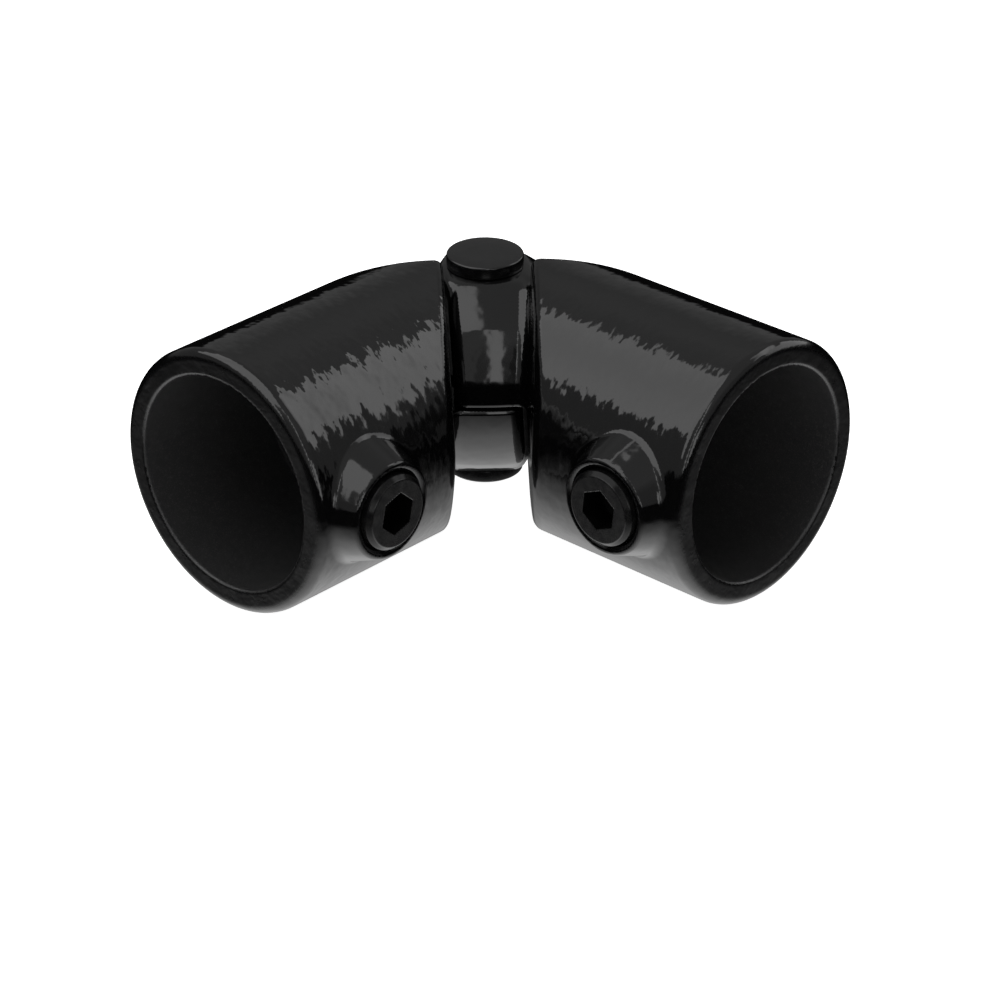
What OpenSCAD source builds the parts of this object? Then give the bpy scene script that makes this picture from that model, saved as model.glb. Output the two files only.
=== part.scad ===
// In-line swivel tube fitting: two identical cast sockets, each with half of a
// split lug, joined by a riveted pin; one set screw per socket.
// Millimetres, +Z up along the pin. The two tube axes and the pin axis meet in
// one point, and the bisector of the bend points along -Y.

/* [Socket] */
// outside diameter of the tube that each socket takes
tube_d = 48.3; // [42.4:0.1:60.3]
// radial slack between tube and bore
tube_slack = 0.45; // [0.2:0.05:0.8]
// wall of the socket
wall = 5.74; // [4:0.01:8]
// pin axis to the mouth plane
mouth_s = 82.9; // [75:0.1:100]
// depth of the bore from the mouth to the tube stop
bore_depth = 37.5; // [30:0.1:45]
// rounding of the outer mouth edge
mouth_round = 2.4; // [0.5:0.1:3.5]
// chamfer of the bore's mouth
bore_chamfer = 0.8; // [0.3:0.1:1.5]

/* [Swivel] */
// angle between the two arms at rest
bend = 90; // [90:1:180]
// pin axis to the wedge faces at mid height
face_d = 8.1; // [7.5:0.05:10]
// draft of the wedge faces, up and down from mid height
draft = 3.6; // [0:0.1:6]
// flat cut off the wedge tip, measured along the arm
tip_cut = 0.8; // [0.5:0.05:2]
// radius of the knuckle round the pin
knuckle_r = 11.6; // [10:0.1:12]
// radius of the lug's barrel-shaped sides
barrel_r = 25.7; // [22:0.1:28]
// tilt of the flats along the barrels' upper shoulders
slope = 57; // [50:1:65]
// pin axis and mid height to those flats, square to them
slope_d = 25.22; // [24.5:0.01:26]
// height of the flat seats above and below the parting plane's middle
seat_z = 24.1; // [20:0.1:25]
// gap between the two half lugs
lug_gap = 0.5; // [0.2:0.05:1]
// clearance between a lug and the other socket's end
side_gap = 0.6; // [0.4:0.05:1]

/* [Pin] */
// shank radius
pin_r = 6.5; // [5:0.1:8]
// head radius
head_r = 8.75; // [7.5:0.05:10]
// head height
head_h = 2.85; // [2:0.05:5]
// rounding of the head's rim
head_round = 0.5; // [0.2:0.1:1]
// slack under the head on the turning side
head_slack = 0.15; // [0.05:0.05:0.4]
// radial slack in the lug that holds the pin
tight_slack = 0.02; // [0.01:0.01:0.05]
// radial slack in the lug that turns on the pin
turn_slack = 0.06; // [0.03:0.01:0.1]

/* [Set screw] */
// pin axis to the screw axis, along the socket
screw_s = 66.85; // [60:0.05:72]
// socket axis to the screw's outer face
screw_face = 36.9; // [35:0.1:40]
// major radius of the screw thread, drawn plain
screw_r = 8.6; // [6.5:0.05:10]
// length of the screw
screw_l = 12; // [10:0.5:16]
// hexagon socket across flats
hex_af = 8.4; // [6:0.1:10]
// depth of the hexagon socket
hex_depth = 5.5; // [4:0.5:7]
// radial slack of the screw in its hole
screw_slack = 0.05; // [0.02:0.01:0.1]
// radius of the screw's flat outer face
screw_flat = 7.62; // [6:0.01:9]
// radius of the cast boss around the screw, at its face
boss_r = 11.1; // [10:0.1:13]
// growth of the boss radius for each millimetre towards its foot
boss_flare = 0.4; // [0:0.01:0.6]
// bevel of the boss face's edge
boss_bevel = 0.6; // [0.2:0.1:1.2]
// socket axis to the boss face
boss_face = 35.3; // [34:0.1:37]
// hole's countersink radius at the boss face
sink_r = 9.6; // [8.6:0.1:10.5]

/* [Hidden] */
$fn = 96;
bore_r = tube_d / 2 + tube_slack;
outer_r = bore_r + wall;
stop_s = mouth_s - bore_depth;
half = bend / 2;
lug_d = face_d - side_gap;
tip_s = face_d * sqrt(2);
tip_lean = atan(sqrt(2) * tan(draft));
wall_in = 6.5;
core_s = tip_s + wall_in * sqrt(2);
core_r1 = 8;
core_r2 = 20;
// bounding box of the assembly at rest, for the frame's origin
low_y = -max((mouth_s - mouth_round + outer_r - mouth_round) * cos(45) + mouth_round,
             (screw_s + boss_r + boss_face - boss_bevel) * cos(45));
high_y = knuckle_r;
org = [0, -(low_y + high_y) / 2, outer_r];

// outer wall of one socket, along +X from the pin, with the rounded mouth edge
module socket_wall() {
    r = mouth_round;
    rotate([0, 90, 0])
        rotate_extrude()
            polygon(concat(
                [[0, 0], [outer_r, 0], [outer_r, mouth_s - r]],
                [for (i = [1:7]) let (a = i * 90 / 8) [outer_r - r + r * cos(a), mouth_s - r + r * sin(a)]],
                [[outer_r - r, mouth_s], [0, mouth_s]]));
}

// everything beyond a leaning plane that crosses mid height at distance d
module beyond(turn, d, lean) {
    rotate([0, 0, turn]) translate([d, 0, 0]) rotate([0, lean, 0])
        translate([0, -150, -150]) cube([300, 300, 300]);
}

// socket with its wedge end: two faces at a right angle, drafted up and down
module wedge_socket() {
    intersection() {
        socket_wall();
        beyond(45, face_d, draft);
        beyond(45, face_d, -draft);
        beyond(-45, face_d, draft);
        beyond(-45, face_d, -draft);
        beyond(0, tip_s + tip_cut, tip_lean);
        beyond(0, tip_s + tip_cut, -tip_lean);
    }
}

// half of the split lug, above the parting plane: two crossing barrels whose
// axes run along the two faces of the wedge end, with flat upper shoulders
module half_lug() {
    difference() {
        intersection() {
            rotate([0, 0, 45]) rotate([0, 90, 0]) cylinder(r = barrel_r, h = 120, center = true);
            rotate([0, 0, -45]) rotate([0, 90, 0]) cylinder(r = barrel_r, h = 120, center = true);
            translate([-60, -60, lug_gap / 2]) cube([120, 120, seat_z - lug_gap / 2]);
            union() {
                cylinder(r = knuckle_r, h = 2 * barrel_r);
                intersection() {
                    beyond(45, -lug_d, -draft);
                    beyond(-45, -lug_d, -draft);
                }
            }
        }
        beyond(45, slope_d / cos(slope), -slope);
        beyond(-45, slope_d / cos(slope), -slope);
    }
}

// one casting in its own arm frame: arm along +X, screw boss on -Y, lug above
module casting(pin_slack) {
    difference() {
        union() {
            wedge_socket();
            half_lug();
            // flared cast boss around the set screw
            translate([screw_s, 0, 0]) rotate([90, 0, 0]) {
                h = boss_face - boss_bevel - 25.5;
                translate([0, 0, 25.5]) cylinder(r1 = boss_r + boss_flare * h, r2 = boss_r, h = h);
                translate([0, 0, boss_face - boss_bevel])
                    cylinder(r1 = boss_r, r2 = boss_r - boss_bevel, h = boss_bevel);
            }
        }
        // tube bore with its chamfered mouth and cored end
        translate([stop_s, 0, 0]) rotate([0, 90, 0]) cylinder(r = bore_r, h = bore_depth + 1);
        translate([mouth_s - bore_chamfer, 0, 0]) rotate([0, 90, 0])
            cylinder(r1 = bore_r, r2 = bore_r + bore_chamfer + 0.5, h = bore_chamfer + 0.5);
        translate([core_s + core_r1, 0, 0]) rotate([0, 90, 0])
            cylinder(r1 = core_r1, r2 = core_r2, h = core_r2 - core_r1);
        translate([core_s + core_r2, 0, 0]) rotate([0, 90, 0])
            cylinder(r = core_r2, h = stop_s - core_s - core_r2 + 1);
        // screw hole with its countersink
        translate([screw_s, 0, 0]) rotate([90, 0, 0]) {
            translate([0, 0, 15]) cylinder(r = screw_r + screw_slack, h = 30);
            translate([0, 0, boss_face - (sink_r - screw_r)])
                cylinder(r1 = screw_r, r2 = sink_r + 1, h = sink_r - screw_r + 1);
        }
        // pin hole
        cylinder(r = pin_r + pin_slack, h = 60);
    }
}

// socket that stays still, with the upper half lug
module fixed_socket() {
    color([0.06, 0.06, 0.065])
        translate(org) rotate([0, 0, half - 90]) casting(tight_slack);
}

// the same casting turned over, with the lower half lug
module swing_socket() {
    color([0.09, 0.09, 0.095])
        translate(org) rotate([0, 180, 0]) rotate([0, 0, half - 90]) casting(turn_slack);
}

// headed rivet that holds the two lugs together
module pivot_pin() {
    r = head_round;
    color([0.16, 0.16, 0.17])
        translate(org) rotate_extrude()
            polygon([
                [0, -seat_z - head_slack - head_h], [head_r - r, -seat_z - head_slack - head_h],
                [head_r, -seat_z - head_slack - head_h + r], [head_r, -seat_z - head_slack],
                [pin_r, -seat_z - head_slack], [pin_r, seat_z],
                [head_r, seat_z], [head_r, seat_z + head_h - r],
                [head_r - r, seat_z + head_h], [0, seat_z + head_h]]);
}

// set screw along +Z with its outer face at zero
module screw_shape(turn) {
    bevel = screw_r - screw_flat;
    difference() {
        union() {
            translate([0, 0, -bevel]) cylinder(r1 = screw_r, r2 = screw_flat, h = bevel);
            translate([0, 0, -screw_l + 1.2]) cylinder(r = screw_r, h = screw_l - 1.2 - bevel);
            translate([0, 0, -screw_l]) cylinder(r1 = screw_r - 1.2, r2 = screw_r, h = 1.2);
        }
        translate([0, 0, -hex_depth]) rotate([0, 0, turn])
            linear_extrude(hex_depth + 1)
                polygon([for (i = [0:5]) hex_af / sqrt(3) * [cos(60 * i), sin(60 * i)]]);
        // hollow cup point
        translate([0, 0, -screw_l - 0.01]) cylinder(r1 = 4.6, r2 = 2.6, h = 2);
    }
}

// screw in its place in a casting, arm frame
module screw_in_arm(turn) {
    translate([screw_s, -screw_face, 0]) rotate([90, 0, 0]) screw_shape(turn);
}

// set screw of the still socket
module fixed_set_screw() {
    color([0.2, 0.2, 0.21])
        translate(org) rotate([0, 0, half - 90]) screw_in_arm(23.6);
}

// set screw of the swinging socket
module swing_set_screw() {
    color([0.2, 0.2, 0.21])
        translate(org) rotate([0, 180, 0]) rotate([0, 0, half - 90]) screw_in_arm(-42.2);
}

fixed_socket();
swing_socket();
pivot_pin();
fixed_set_screw();
swing_set_screw();
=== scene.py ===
import math

import bpy
import numpy as np
from mathutils import Matrix, Vector


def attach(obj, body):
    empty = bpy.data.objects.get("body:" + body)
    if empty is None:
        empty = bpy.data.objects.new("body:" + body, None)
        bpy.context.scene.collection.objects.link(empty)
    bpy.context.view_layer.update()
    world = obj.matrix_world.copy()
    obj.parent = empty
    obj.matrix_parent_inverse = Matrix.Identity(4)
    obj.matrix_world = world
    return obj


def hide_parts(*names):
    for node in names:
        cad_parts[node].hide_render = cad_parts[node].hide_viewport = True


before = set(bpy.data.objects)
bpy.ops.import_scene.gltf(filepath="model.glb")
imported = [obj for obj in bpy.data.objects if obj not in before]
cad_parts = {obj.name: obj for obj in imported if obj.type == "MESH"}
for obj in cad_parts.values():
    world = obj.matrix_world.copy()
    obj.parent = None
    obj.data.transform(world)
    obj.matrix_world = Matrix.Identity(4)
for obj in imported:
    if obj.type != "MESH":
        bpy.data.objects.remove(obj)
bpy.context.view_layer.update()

scene = bpy.context.scene

# ---------------------------------------------------------------------------
# sizes in millimetres, the same as in the part's source
# ---------------------------------------------------------------------------
OUTER_R, BORE_R, MOUTH, STOP = 30.34, 24.6, 82.9, 45.4
FACE_D, SIDE_GAP, KNUCKLE_R, BARREL_R = 8.1, 0.6, 11.6, 25.7
LEAN = math.tan(math.radians(3.6))
SEAT, GAP = 24.1, 0.25
PIN_R, HEAD_R, HEAD_H = 6.5, 8.75, 2.85
SCREW_S, SCREW_FACE, SCREW_R, SCREW_L, SCREW_FLAT, HEX_AF = 66.85, 36.9, 8.6, 12.0, 7.62, 8.4
BOSS_R, BOSS_FACE, BOSS_BEVEL, BOSS_FLARE, SINK_R = 11.1, 35.3, 0.6, 0.4, 9.6
SLOPE, SLOPE_D = math.radians(57), 25.22
S2 = math.sqrt(0.5)
ORG = np.array([0.0, ((SCREW_S + BOSS_R + BOSS_FACE - BOSS_BEVEL) * S2 - KNUCKLE_R) / 2, OUTER_R])


# ---------------------------------------------------------------------------
# signed distance fields
# ---------------------------------------------------------------------------
def rmax(a, b, r):
    """both, with the edge rounded"""
    return np.minimum(np.maximum(a, b), -r) + np.hypot(np.maximum(a + r, 0), np.maximum(b + r, 0))


def rmin(a, b, r):
    """either, with the corner filled"""
    return np.maximum(np.minimum(a, b), r) - np.hypot(np.maximum(r - a, 0), np.maximum(r - b, 0))


def smax(a, b, k):
    """both, with a shallow crease softened"""
    return np.maximum(a, b) + np.maximum(k - np.abs(a - b), 0) ** 2 / (4 * k)


def fillet(a, b, c, r):
    """either, with a round fillet; c is the cosine between the two normals"""
    u, v, s = r - a, r - b, 1 - c * c
    arc = r - np.sqrt(np.maximum(u * u + v * v - 2 * c * u * v, 0) / s)
    return np.where((u > c * v) & (v > c * u), arc, np.minimum(a, b))


def casting_field(x, y, z):
    """one casting: arm along +X, screw boss on -Y, lug above"""
    rad = np.hypot(y, z)
    p, q = (x - y) * S2, (x + y) * S2
    pin = np.hypot(x, y)
    # socket with its drafted wedge end
    n = 1 / math.hypot(1, LEAN)
    face = FACE_D + LEAN * (np.hypot(z, 3) - 1.5)
    wedge = rmax((face - p) * n, (face - q) * n, 2.0)
    body = rmax(rad - OUTER_R, wedge, 1.6)
    body = rmax(body, x - MOUTH, 2.4)
    # half lug: two crossing barrels, slightly crowned, on a rounded knuckle
    def barrel_side(u, v):
        upper = u * math.cos(SLOPE) + z * math.sin(SLOPE) - SLOPE_D
        return smax(np.hypot(u, z) - BARREL_R, upper, 0.6) + v * v / 120

    barrel = rmax(barrel_side(p, q), barrel_side(q, p), 1.0)
    end = FACE_D - SIDE_GAP + LEAN * z
    fan = rmax((-end - q) * n, (-end - p) * n, 1.5)
    plan = rmin(pin - KNUCKLE_R, fan, 2.0)
    lug = np.maximum(rmax(rmax(barrel, plan, 2.8), z - SEAT, 0.8), rmax(plan, z - SEAT, 3.0))
    root = 1.2 + 1.5 * np.clip((np.maximum(p, q) - 5) / 4, 0, 1)
    d = np.minimum(body, rmax(rmin(body, lug, root), GAP - z, 1.05))
    # flared boss round the set screw
    br = np.hypot(x - SCREW_S, z)
    cone = (br - BOSS_R - BOSS_FLARE * (y + BOSS_FACE - BOSS_BEVEL)) / math.hypot(1, BOSS_FLARE)
    boss = np.maximum(rmax(cone, -y - BOSS_FACE, 0.65), y + 22)
    lean = (z * z / np.maximum(br, 1) - BOSS_FLARE * y) / (math.hypot(1, BOSS_FLARE) * np.maximum(rad, 1))
    d = np.where((y < 0) & (br < 18), fillet(d, boss, np.clip(lean, 0, 0.9), 2.4), d)
    # bore, cored end, screw hole and pin hole
    d = rmax(d, -np.maximum(rad - BORE_R, STOP - x), 0.8)
    core = np.maximum(np.maximum(rad - 20.0, 28.65 - x), (rad - x + 20.65) * S2)
    d = np.maximum(d, -core)
    d = np.maximum(d, -np.maximum(br - SCREW_R - 0.05, y + 12))
    d = rmax(d, -np.maximum((br - SINK_R + y + BOSS_FACE) * S2, y + 33), 0.4)
    return np.maximum(d, PIN_R + 0.06 - pin)


def screw_field(turn):
    """set screw along +Z, outer face at zero"""
    ca, sa = math.cos(turn), math.sin(turn)

    def field(x, y, z):
        r = np.hypot(x, y)
        ang = np.arctan2(y, x)
        # rolled thread, crests at the full radius
        ph = (z / 1.337 - ang / (2 * math.pi)) % 1.0
        thread = 0.42 * np.clip(np.abs(ph - 0.5) * 3.2 - 0.3, 0, 1) * np.clip(-z - 2.4, 0, 1)
        d = (r - SCREW_R + thread) * 0.7
        d = rmax(d, z, 0.1)
        d = rmax(d, (r - SCREW_FLAT + z) * S2, 0.12)
        d = rmax(d, (r + (-z - SCREW_L) - SCREW_R + 1.2) * S2, 0.2)
        d = rmax(d, -SCREW_L - z, 0.2)
        # hexagon socket
        u, v = x * ca + y * sa, -x * sa + y * ca
        hexa = np.maximum(np.abs(v), np.maximum(np.abs(u * math.sqrt(0.75) + v * 0.5), np.abs(u * math.sqrt(0.75) - v * 0.5)))
        hexa = hexa - HEX_AF / 2
        hexa = np.maximum(hexa, -5.5 - z - np.maximum(0, 3.4 - r) * 0.35)
        d = rmax(d, -hexa, 0.06)
        # hollow cup point
        return rmax(d, -np.maximum((r - 4.6 + (z + SCREW_L)) * S2, z + SCREW_L - 2.0), 0.2)

    return field


def gradient(f, p, e=2e-3):
    g = np.empty_like(p)
    for k in range(3):
        s = np.zeros(3)
        s[k] = e
        a, b = p + s, p - s
        g[:, k] = f(a[:, 0], a[:, 1], a[:, 2]) - f(b[:, 0], b[:, 1], b[:, 2])
    return g / np.maximum(np.linalg.norm(g, axis=1, keepdims=True), 1e-12)


def contour(f, lo, hi, h):
    """vertices, quads and corner normals of the surface f = 0, edges kept"""
    lo = np.array(lo, float)
    n = np.ceil((np.array(hi) - lo) / h).astype(int) + 1
    ax = [lo[k] + h * np.arange(n[k]) for k in range(3)]
    v = f(ax[0][:, None, None], ax[1][None, :, None], ax[2][None, None, :])
    v = np.array(np.broadcast_to(v, tuple(n)))
    ins = v < 0
    cn = n - 1
    pts, nrm, cells = [], [], []
    for a in range(3):
        u, w = (a + 1) % 3, (a + 2) % 3
        s0, s1 = [slice(None)] * 3, [slice(None)] * 3
        s0[a], s1[a] = slice(0, -1), slice(1, None)
        i = np.argwhere(ins[tuple(s0)] != ins[tuple(s1)])
        i = i[(i[:, u] > 0) & (i[:, w] > 0) & (i[:, u] < cn[u]) & (i[:, w] < cn[w])]
        p0 = lo + h * i
        step = np.zeros(3)
        step[a] = h
        start = ins[i[:, 0], i[:, 1], i[:, 2]]
        t0, t1 = np.zeros(len(i)), np.ones(len(i))
        for _ in range(11):
            t = (t0 + t1) / 2
            m = p0 + t[:, None] * step
            same = (f(m[:, 0], m[:, 1], m[:, 2]) < 0) == start
            t0, t1 = np.where(same, t, t0), np.where(same, t1, t)
        m = p0 + ((t0 + t1) / 2)[:, None] * step
        pts.append(m)
        nrm.append(gradient(f, m))
        ring = []
        for du, dw in ((0, 0), (-1, 0), (-1, -1), (0, -1)):
            c = i.copy()
            c[:, u] += du
            c[:, w] += dw
            ring.append((c[:, 0] * cn[1] + c[:, 1]) * cn[2] + c[:, 2])
        ring = np.stack(ring, 1)
        cells.append(np.where(start[:, None], ring, ring[:, ::-1]))
    pts, nrm, cells = np.concatenate(pts), np.concatenate(nrm), np.concatenate(cells)
    ids, inv = np.unique(cells.ravel(), return_inverse=True)
    m = len(ids)
    pp, nn = np.repeat(pts, 4, 0), np.repeat(nrm, 4, 0)

    def per_cell(x):
        return np.bincount(inv, x, m)

    count = per_cell(np.ones(len(inv)))
    mean = np.stack([per_cell(pp[:, k]) for k in range(3)], 1) / count[:, None]
    even = np.linalg.norm(np.stack([per_cell(nn[:, k]) for k in range(3)], 1), axis=1) / count
    dist = np.einsum("ij,ij->i", nn, pp - mean[inv])
    mat = np.zeros((m, 3, 3))
    for r in range(3):
        for c in range(r, 3):
            mat[:, r, c] = mat[:, c, r] = per_cell(nn[:, r] * nn[:, c])
    rhs = np.stack([per_cell(nn[:, k] * dist) for k in range(3)], 1)
    x = mean + np.linalg.solve(mat + 0.03 * np.eye(3), rhs[:, :, None])[:, :, 0]
    low = lo + h * np.stack([ids // (cn[1] * cn[2]), ids // cn[2] % cn[1], ids % cn[2]], 1)
    x = np.clip(x, low - 0.05 * h, low + 1.05 * h)
    flat = even > 0.97
    for _ in range(2):
        g = gradient(f, x[flat])
        x[flat] -= f(x[flat, 0], x[flat, 1], x[flat, 2])[:, None] * g
    quads = inv.reshape(-1, 4)
    mid = x[quads].mean(1)
    corner = (x[quads] * 0.65 + mid[:, None, :] * 0.35).reshape(-1, 3)
    return x, quads, gradient(f, corner)


def place(turn_over):
    """rotation from the arm frame to the part frame"""
    c = math.cos(math.radians(45))
    r = np.array([[c, c, 0], [-c, c, 0], [0, 0, 1.0]])
    return np.diag([-1.0, 1, -1]) @ r if turn_over else r


def mesh_object(name, verts, faces, normals, rot, shift, attrs, material):
    """verts in mm in their own frame, moved by rot and shift into the part frame"""
    me = bpy.data.meshes.new(name)
    v = (verts @ rot.T + shift) * 0.001
    k = faces.shape[1]
    me.vertices.add(len(v))
    me.vertices.foreach_set("co", v.astype(np.float32).ravel())
    me.loops.add(faces.size)
    me.loops.foreach_set("vertex_index", faces.astype(np.int32).ravel())
    me.polygons.add(len(faces))
    me.polygons.foreach_set("loop_start", (np.arange(len(faces)) * k).astype(np.int32))
    me.polygons.foreach_set("use_smooth", np.ones(len(faces), bool))
    me.update(calc_edges=True)
    me.validate()
    for key, data in attrs.items():
        kind = "FLOAT_VECTOR" if data.ndim == 2 else "FLOAT"
        at = me.attributes.new(key, kind, "POINT")
        at.data.foreach_set("vector" if data.ndim == 2 else "value", data.astype(np.float32).ravel())
    if normals is not None:
        me.normals_split_custom_set((normals @ rot.T).astype(np.float32).tolist())
    me.materials.append(material)
    ob = bpy.data.objects.new(name, me)
    scene.collection.objects.link(ob)
    return ob


# ---------------------------------------------------------------------------
# materials
# ---------------------------------------------------------------------------
class Tree:
    """short hand for building a node tree"""

    def __init__(self, tree):
        self.t = tree
        tree.nodes.clear()

    def add(self, kind, inputs=None, **props):
        n = self.t.nodes.new(kind)
        for k, val in props.items():
            setattr(n, k, val)
        for k, val in (inputs or {}).items():
            self.put(n.inputs[k], val)
        return n

    def put(self, socket, val):
        if isinstance(val, bpy.types.NodeSocket):
            self.t.links.new(val, socket)
        else:
            socket.default_value = val

    def math(self, op, a, b=None, c=None, clamp=False):
        n = self.add("ShaderNodeMath", operation=op, use_clamp=clamp)
        for s, val in zip(n.inputs, (a, b, c)):
            if val is not None:
                self.put(s, val)
        return n.outputs[0]

    def ramp(self, val, a, b, lo=0.0, hi=1.0, smooth=True):
        n = self.add("ShaderNodeMapRange", {"Value": val, "From Min": a, "From Max": b, "To Min": lo, "To Max": hi},
                     interpolation_type="SMOOTHSTEP" if smooth else "LINEAR")
        return n.outputs["Result"]

    def noise(self, vec, scale, detail=2.0, rough=0.5, distortion=0.0):
        n = self.add("ShaderNodeTexNoise", {"Vector": vec, "Scale": scale, "Detail": detail, "Roughness": rough,
                                            "Distortion": distortion})
        return n.outputs["Fac"] if "Fac" in n.outputs else n.outputs[0]

    def scaled(self, vec, s):
        n = self.add("ShaderNodeVectorMath", operation="MULTIPLY")
        self.put(n.inputs[0], vec)
        n.inputs[1].default_value = s
        return n.outputs[0]

    def mix(self, fac, a, b):
        n = self.add("ShaderNodeMix", data_type="RGBA")
        for k, val in ((0, fac), (6, a), (7, b)):
            self.put(n.inputs[k], val)
        return n.outputs[2]

    def surface(self, height, distance=0.001, normal=None, **sockets):
        bump = self.add("ShaderNodeBump", {"Height": height, "Distance": distance, "Strength": 1.0})
        if normal is not None:
            self.put(bump.inputs["Normal"], normal)
        sh = self.add("ShaderNodeBsdfPrincipled", {k.replace("_", " "): val for k, val in sockets.items()})
        self.t.links.new(bump.outputs[0], sh.inputs["Normal"])
        out = self.add("ShaderNodeOutputMaterial")
        self.t.links.new(sh.outputs[0], out.inputs[0])
        return sh


def new_material(name):
    m = bpy.data.materials.new(name)
    m.use_nodes = True
    return m, Tree(m.node_tree)


def casting_material():
    """thick glossy black coat over a cast skin; rougher at the mouth and duller inside"""
    m, t = new_material("coated_casting")
    pos = t.add("ShaderNodeAttribute", attribute_name="cast").outputs["Vector"]
    inside = t.add("ShaderNodeAttribute", attribute_name="inside").outputs["Fac"]
    skin = t.add("ShaderNodeAttribute", attribute_name="skin").outputs["Fac"]
    mouth = t.add("ShaderNodeAttribute", attribute_name="mouth").outputs["Fac"]
    # short streaks that run round the socket tip the surface along their way
    streak = t.noise(t.scaled(pos, (0.75, 0.3, 0.3)), 1.0, 2.2, 0.55)
    way = t.add("ShaderNodeAttribute", attribute_name="round").outputs["Vector"]
    way = t.add("ShaderNodeVectorTransform", {"Vector": way}, vector_type="VECTOR", convert_from="OBJECT", convert_to="WORLD")
    tip = t.add("ShaderNodeVectorMath", {"Scale": t.math("MULTIPLY", t.math("MULTIPLY_ADD", streak, 0.52, -0.26), skin)},
                operation="SCALE")
    t.t.links.new(way.outputs[0], tip.inputs[0])
    tipped = t.add("ShaderNodeVectorMath", operation="ADD")
    t.t.links.new(t.add("ShaderNodeNewGeometry").outputs["Normal"], tipped.inputs[0])
    t.t.links.new(tip.outputs[0], tipped.inputs[1])
    tipped = t.add("ShaderNodeVectorMath", {0: tipped.outputs[0]}, operation="NORMALIZE")
    # orange peel and a broad waviness
    peel = t.noise(pos, 0.3, 1.0, 0.5)
    wave = t.noise(pos, 0.09, 1.0, 0.4)
    grit = t.noise(pos, 3.2, 2.0, 0.6)
    h = t.math("MULTIPLY", peel, 0.075)
    h = t.math("MULTIPLY_ADD", t.math("MULTIPLY", t.noise(pos, 1.1, 2.0, 0.55), mouth), 0.05, h)
    h = t.math("MULTIPLY_ADD", wave, 0.25, h)
    h = t.math("MULTIPLY_ADD", grit, t.math("MULTIPLY_ADD", inside, 0.03, 0.0008), h)
    rough = t.math("MULTIPLY_ADD", streak, 0.04, 0.06)
    rough = t.math("MULTIPLY_ADD", mouth, 0.2, rough)
    rough = t.math("MULTIPLY_ADD", inside, t.math("MULTIPLY_ADD", grit, 0.25, 0.2), rough)
    dust = t.ramp(grit, 0.5, 0.75, 0.0, 1.0)
    col = t.mix(t.math("MULTIPLY", dust, 0.5), (0.0011, 0.0011, 0.0012, 1), (0.0026, 0.0026, 0.0026, 1))
    col = t.mix(inside, col, t.mix(dust, (0.016, 0.016, 0.0165, 1), (0.045, 0.044, 0.043, 1)))
    t.surface(h, normal=tipped.outputs[0], Base_Color=col, Roughness=rough, IOR=1.5)
    return m


def pin_material():
    """satin black, lightly mottled"""
    m, t = new_material("black_pin")
    pos = t.add("ShaderNodeAttribute", attribute_name="pin").outputs["Vector"]
    mottle = t.noise(pos, 0.35, 3.0, 0.55)
    fine = t.noise(pos, 5.0, 2.0, 0.6)
    h = t.math("MULTIPLY_ADD", mottle, 0.03, t.math("MULTIPLY", fine, 0.003))
    rough = t.math("MULTIPLY_ADD", mottle, 0.1, 0.14)
    col = t.mix(t.ramp(mottle, 0.35, 0.7), (0.0018, 0.0018, 0.002, 1), (0.004, 0.004, 0.0042, 1))
    t.surface(h, Base_Color=col, Roughness=rough, IOR=1.5)
    return m


def screw_material():
    """blackened steel with a fine grain; painted shade in the hex socket and on the bevel"""
    m, t = new_material("black_oxide_screw")
    pos = t.add("ShaderNodeAttribute", attribute_name="screw").outputs["Vector"]
    mottle = t.noise(pos, 0.5, 3.0, 0.55)
    fine = t.noise(pos, 6.0, 2.0, 0.6)
    socket_shade = t.add("ShaderNodeAttribute", attribute_name="socket_shade").outputs["Fac"]
    bevel = t.add("ShaderNodeAttribute", attribute_name="bevel").outputs["Fac"]
    h = t.math("MULTIPLY_ADD", mottle, 0.012, t.math("MULTIPLY", fine, 0.003))
    rough = t.math("MULTIPLY_ADD", mottle, 0.12, 0.12)
    rough = t.math("MULTIPLY_ADD", socket_shade, 0.35, rough)
    col = t.mix(t.ramp(mottle, 0.35, 0.7), (0.0025, 0.0025, 0.0027, 1), (0.006, 0.0059, 0.0058, 1))
    # painted shade: the hex socket's inside is made near black, with its reflection turned down, in place of the shade
    # in the recess
    col = t.mix(socket_shade, col, (0.0006, 0.0006, 0.0006, 1))
    # painted shade: reflection turned down on the bevel, in place of the shade in thread grooves
    t.surface(h, Base_Color=col, Roughness=rough, IOR=1.6,
              Specular_IOR_Level=t.math("MULTIPLY_ADD", bevel, -0.38, t.math("MULTIPLY_ADD", socket_shade, -0.44, 0.5)))
    return m


# ---------------------------------------------------------------------------
# pieces
# ---------------------------------------------------------------------------
coat, satin, oxide = casting_material(), pin_material(), screw_material()

cv, cq, cnrm = contour(casting_field, (-14.1, -37.3, -31.9), (84.2, 31.9, 31.9), 0.57)
c_rad = np.hypot(cv[:, 1], cv[:, 2])
c_hole = np.hypot(cv[:, 0] - SCREW_S, cv[:, 2])
c_deep = (cv[:, 0] - np.abs(cv[:, 1])) * S2 > 12.0
c_in = ((c_rad < BORE_R + 0.15) & c_deep).astype(float)
c_in = np.maximum(c_in, ((c_hole < SCREW_R + 0.3) & (cv[:, 1] < -20) & (cv[:, 1] > -33.8)).astype(float))
c_skin = np.clip((c_rad - OUTER_R + 0.7) / 0.6, 0, 1) * np.clip(np.where(cv[:, 1] < 0, c_hole - 14.0, 2.0) / 2, 0, 1)
c_mouth = np.clip((cv[:, 0] - MOUTH + 0.5) / 0.45, 0, 1)
c_up = np.clip((cv[:, 2] + 6) / 12, 0, 1)
c_skin = c_skin * np.clip(0.62 - 0.03 * cv[:, 1], 0.25, 1)
c_round = np.stack([0 * c_rad, -cv[:, 2], cv[:, 1]], 1) / np.maximum(c_rad, 1)[:, None]
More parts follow.
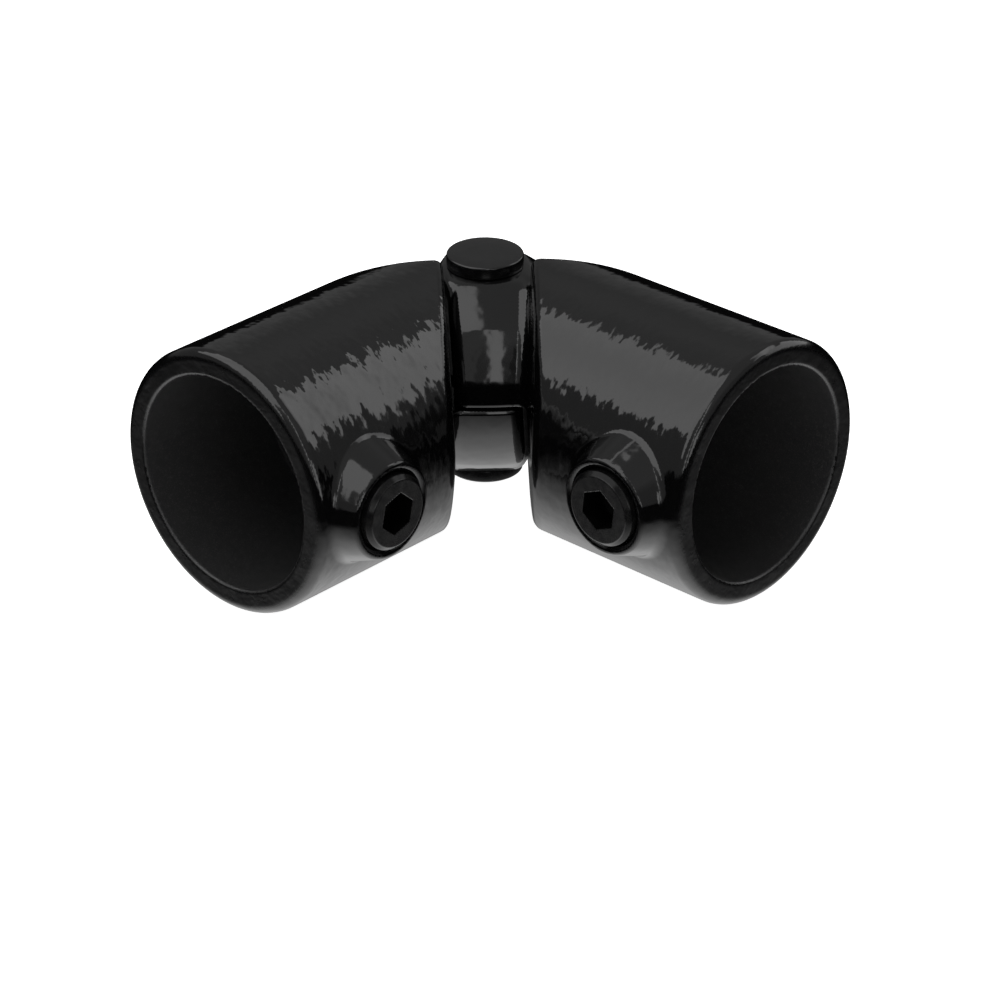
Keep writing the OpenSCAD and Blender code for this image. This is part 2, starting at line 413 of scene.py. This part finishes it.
for name, body, node, over, seed, coarse in (("fixed_casting", "fixed_arm", "fixed_socket", False, 0.0, 0.5),
                                             ("swing_casting", "swing_arm", "swing_socket", True, 140.0, 1.0)):
    ob = mesh_object(name, cv, cq, cnrm, place(over), ORG, {"cast": cv + np.array([seed, 0, 0]), "inside": c_in,
                                                                    "skin": c_skin * coarse * (0.35 + 0.65 * (1 - c_up if over else c_up)),
                                                                    "mouth": c_mouth,
                                                                    "round": c_round @ place(over).T}, coat)
    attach(ob, body)
    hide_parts(node)


def arc(cx, cz, r, a0, a1, n=7):
    return [(cx + r * math.cos(math.radians(a0 + (a1 - a0) * i / n)), cz + r * math.sin(math.radians(a0 + (a1 - a0) * i / n)))
            for i in range(n + 1)]


def lathe(profile, seg):
    """closed body of revolution; the profile starts and ends on the axis"""
    prof = np.array(profile)
    a = np.arange(seg) * 2 * math.pi / seg
    ring = np.stack([np.outer(prof[:, 0], np.cos(a)), np.outer(prof[:, 0], np.sin(a)),
                     np.repeat(prof[:, 1:], seg, 1)], 2).reshape(-1, 3)
    k = np.arange(seg)
    faces = []
    for i in range(len(prof) - 1):
        faces.append(np.stack([i * seg + k, i * seg + (k + 1) % seg, (i + 1) * seg + (k + 1) % seg, (i + 1) * seg + k], 1))
    return ring, np.concatenate(faces)


low = -SEAT - 0.15
top = SEAT + HEAD_H
profile = [(0.004, low - HEAD_H), (4.0, low - HEAD_H)] + arc(HEAD_R - 0.5, low - HEAD_H + 0.5, 0.5, -90, 0)
profile += arc(HEAD_R - 0.15, low - 0.15, 0.15, 0, 90, 4) + [(PIN_R + 0.3, low)]
profile += arc(PIN_R + 0.3, low + 0.3, 0.3, 270, 180, 4)
profile += [(PIN_R, 0.0), (PIN_R, SEAT - 0.3)] + arc(PIN_R + 0.3, SEAT - 0.3, 0.3, 180, 90, 4)
profile += arc(HEAD_R - 0.15, SEAT + 0.15, 0.15, -90, 0, 4)
profile += arc(HEAD_R - 0.5, top - 0.5, 0.5, 0, 90) + [(4.0, top), (0.004, top)]
pv, pq = lathe(profile, 128)
pv_part = pv
ob = mesh_object("pivot_pin_visual", pv, pq, None, np.eye(3), ORG, {"pin": pv}, satin)
ob.data.set_sharp_from_angle(angle=math.radians(35))
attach(ob, "fixed_arm")
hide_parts("pivot_pin")

# screw frame to arm frame: the screw's +Z is the arm's -Y
SCREW_ROT = np.array([[1.0, 0, 0], [0, 0, -1], [0, 1, 0]])
for name, body, node, over, turn, seed in (("fixed_screw_visual", "fixed_screw", "fixed_set_screw", False, 23.6, 0.0),
                                           ("swing_screw_visual", "swing_screw", "swing_set_screw", True, -42.2, 40.0)):
    sv, sq, sn = contour(screw_field(math.radians(turn)), (-8.9, -8.9, -12.5), (8.9, 8.9, 0.5), 0.21)
    rot = place(over) @ SCREW_ROT
    shift = ORG + place(over) @ np.array([SCREW_S, -SCREW_FACE, 0.0])
    # the hex socket's inside, where shade is painted
    socket_shade = ((np.hypot(sv[:, 0], sv[:, 1]) < 5.0) & (sv[:, 2] < -0.12) & (sv[:, 2] > -8)).astype(float)
    # the chamfer and side, where the reflection is turned down as painted shade
    bevel = np.clip((np.hypot(sv[:, 0], sv[:, 1]) - SCREW_FLAT) / 0.15, 0, 1)
    ob = mesh_object(name, sv, sq, sn, rot, shift, {"screw": sv + np.array([0, 0, seed]), "socket_shade": socket_shade, "bevel": bevel}, oxide)
    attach(ob, body)
    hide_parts(node)

# ---------------------------------------------------------------------------
# floor
# ---------------------------------------------------------------------------
half = 30.0
fm = bpy.data.meshes.new("floor")
fm.from_pydata([(-half, -half, -0.0002), (half, -half, -0.0002), (half, half, -0.0002), (-half, half, -0.0002)], [], [(0, 1, 2, 3)])
floor = bpy.data.objects.new("floor", fm)
scene.collection.objects.link(floor)
m, t = new_material("pale_floor")
pos = t.add("ShaderNodeNewGeometry").outputs["Position"]
paper = t.noise(pos, 9.0, 3.0, 0.5)
col = t.mix(paper, (0.88, 0.88, 0.88, 1), (0.92, 0.92, 0.92, 1))
t.surface(t.math("MULTIPLY", paper, 0.02), Base_Color=col, Roughness=0.9, Emission_Color=(1, 1, 1, 1), Emission_Strength=0.95)
fm.materials.append(m)
floor.visible_glossy = False

# ---------------------------------------------------------------------------
# light: a plain studio surround with two soft boxes above and a strip in front
# ---------------------------------------------------------------------------
TURN = math.radians(2.108)
world = bpy.data.worlds.new("studio")
scene.world = world
world.use_nodes = True
w = Tree(world.node_tree)
way = w.add("ShaderNodeTexCoord").outputs["Generated"]
spin = w.add("ShaderNodeVectorRotate", {"Vector": way, "Angle": TURN}, rotation_type="Z_AXIS")
sep = w.add("ShaderNodeSeparateXYZ", {"Vector": spin.outputs[0]})
dx, dy, dz = sep.outputs[0], sep.outputs[1], sep.outputs[2]
el = w.math("MULTIPLY", w.math("ARCSINE", dz), 180 / math.pi)
az = w.math("MULTIPLY", w.math("ARCTAN2", dx, w.math("MULTIPLY", dy, -1.0)), 180 / math.pi)
safe = w.math("MAXIMUM", dz, 0.02)
px, py = w.math("DIVIDE", dx, safe), w.math("DIVIDE", dy, safe)

stops = [(-90, 1.75), (-80, 1.68), (-66, 1.49), (-60, 1.4), (-45, 0.82), (-35, 0.48), (-27, 0.03), (-24, 0.005), (3, 0.005), (6, 0.25),
         (30, 0.28), (44, 0.44), (90, 0.46)]
cr = w.add("ShaderNodeValToRGB", {"Fac": w.math("MULTIPLY_ADD", el, 1 / 180, 0.5)})
while len(cr.color_ramp.elements) < len(stops):
    cr.color_ramp.elements.new(0.5)
for e, (deg, rad) in zip(cr.color_ramp.elements, stops):
    e.position = (deg + 90) / 180
    e.color = (rad / 2, rad / 2, rad / 2, 1)
# a little brighter towards the front than towards the back
base = w.math("MULTIPLY", cr.outputs["Color"], w.math("MULTIPLY_ADD", dy, -0.42, 2.0))


def box(val, a, b, soft):
    up = w.ramp(val, a - soft, a + soft)
    down = w.ramp(val, b - soft, b + soft, 1.0, 0.0)
    return w.math("MULTIPLY", up, down)


above = w.math("GREATER_THAN", dz, 0.05)
left_u = w.math("MULTIPLY_ADD", px, 0.335, py)
front = w.math("MINIMUM", w.math("MULTIPLY_ADD", px, 0.5, -0.57), w.math("MULTIPLY_ADD", px, 1.2, -0.10))
inner = w.math("MULTIPLY_ADD", w.math("MAXIMUM", w.math("ADD", py, 0.1), 0.0), 0.3, px)
edges = [w.ramp(left_u, 0.493, 0.533, 1.0, 0.0), w.ramp(px, -1.77, -1.73), w.ramp(inner, -0.03, 0.01, 1.0, 0.0),
         w.ramp(w.math("MULTIPLY_ADD", py, 0.8125, px), 0.011, 0.051, 1.0, 0.0),
         w.ramp(w.math("SUBTRACT", py, front), -0.02, 0.02)]
left = above
for edge in edges:
    left = w.math("MULTIPLY", left, edge)
sliver = w.math("MULTIPLY", box(az, -157.0, -143.0, 1.0), box(el, 62.6, 66.2, 0.5))
left = w.math("MAXIMUM", left, sliver)
right_s = w.math("MULTIPLY_ADD", px, -0.9446, w.math("MULTIPLY", py, 0.328))
right_w = w.math("MULTIPLY_ADD", px, 0.328, w.math("MULTIPLY", py, 0.9446))
right = w.math("MULTIPLY", w.math("MULTIPLY", box(right_s, -1.659, -0.4766, 0.02), box(right_w, 0.41, 1.01, 0.02)), above)
side = w.math("MULTIPLY", box(az, 93.0, 140.0, 1.0), box(el, 8.0, 32.0, 1.0))
right = w.math("MAXIMUM", right, side)
lean = w.math("MULTIPLY_ADD", el, -0.06, az)
strip = w.math("MULTIPLY", w.math("MULTIPLY", w.ramp(az, 2.9, 4.1), w.ramp(lean, 9.8, 11.0, 1.0, 0.0)), box(el, 4.0, 59.0, 1.0))
front_right = w.math("MULTIPLY", box(az, 19.5, 36.0, 1.0), box(el, 3.0, 23.0, 1.5))
strip = w.math("MAXIMUM", strip, front_right)
faint = w.math("MULTIPLY", box(az, -8.8, -2.7, 0.6), box(el, 4.0, 52.0, 1.0))
total = base
left_rad = w.ramp(py, -0.1, 0.35, 1.98, 1.68)
right_rad = w.ramp(w.math("ABSOLUTE", w.math("SUBTRACT", right_w, 0.71)), 0.02, 0.3, 2.1, 1.4)
for mask, rad in ((left, left_rad), (right, right_rad), (strip, 2.12), (faint, 0.52)):
    keep = w.math("SUBTRACT", 1.0, mask)
    total = w.math("MULTIPLY_ADD", mask, rad, w.math("MULTIPLY", total, keep))
bg = w.add("ShaderNodeBackground", {"Color": total, "Strength": 1.0})
out = w.add("ShaderNodeOutputWorld")
w.t.links.new(bg.outputs[0], out.inputs[0])

# ---------------------------------------------------------------------------
# camera
# ---------------------------------------------------------------------------
cam_data = bpy.data.cameras.new("camera")
cam_data.sensor_width = 36.0
cam_data.lens = 137.8
cam_data.clip_start, cam_data.clip_end = 0.02, 200.0
cam = bpy.data.objects.new("camera", cam_data)
scene.collection.objects.link(cam)
FPX = 3827.8
pivot = Vector(ORG * 0.001)
away = Matrix.Rotation(-TURN, 3, "Z") @ Vector((0, -0.7860, 0.3829))
fw = (-away).normalized()
right_v = fw.cross(Vector((0, 0, 1))).normalized()
up_v = right_v.cross(fw)
look = Matrix((right_v, up_v, fw)).transposed()
aim = Vector(((485.1 - 500) / FPX, -(360.1 - 500) / FPX, 1)).normalized()
swing = aim.rotation_difference(Vector((0, 0, 1))).to_matrix()
axes = look @ swing
cam.matrix_world = Matrix.Translation(pivot + away) @ Matrix((axes.col[0], axes.col[1], -axes.col[2])).transposed().to_4x4()
scene.camera = cam

scene.view_settings.view_transform = "Standard"
scene.view_settings.look = "None"
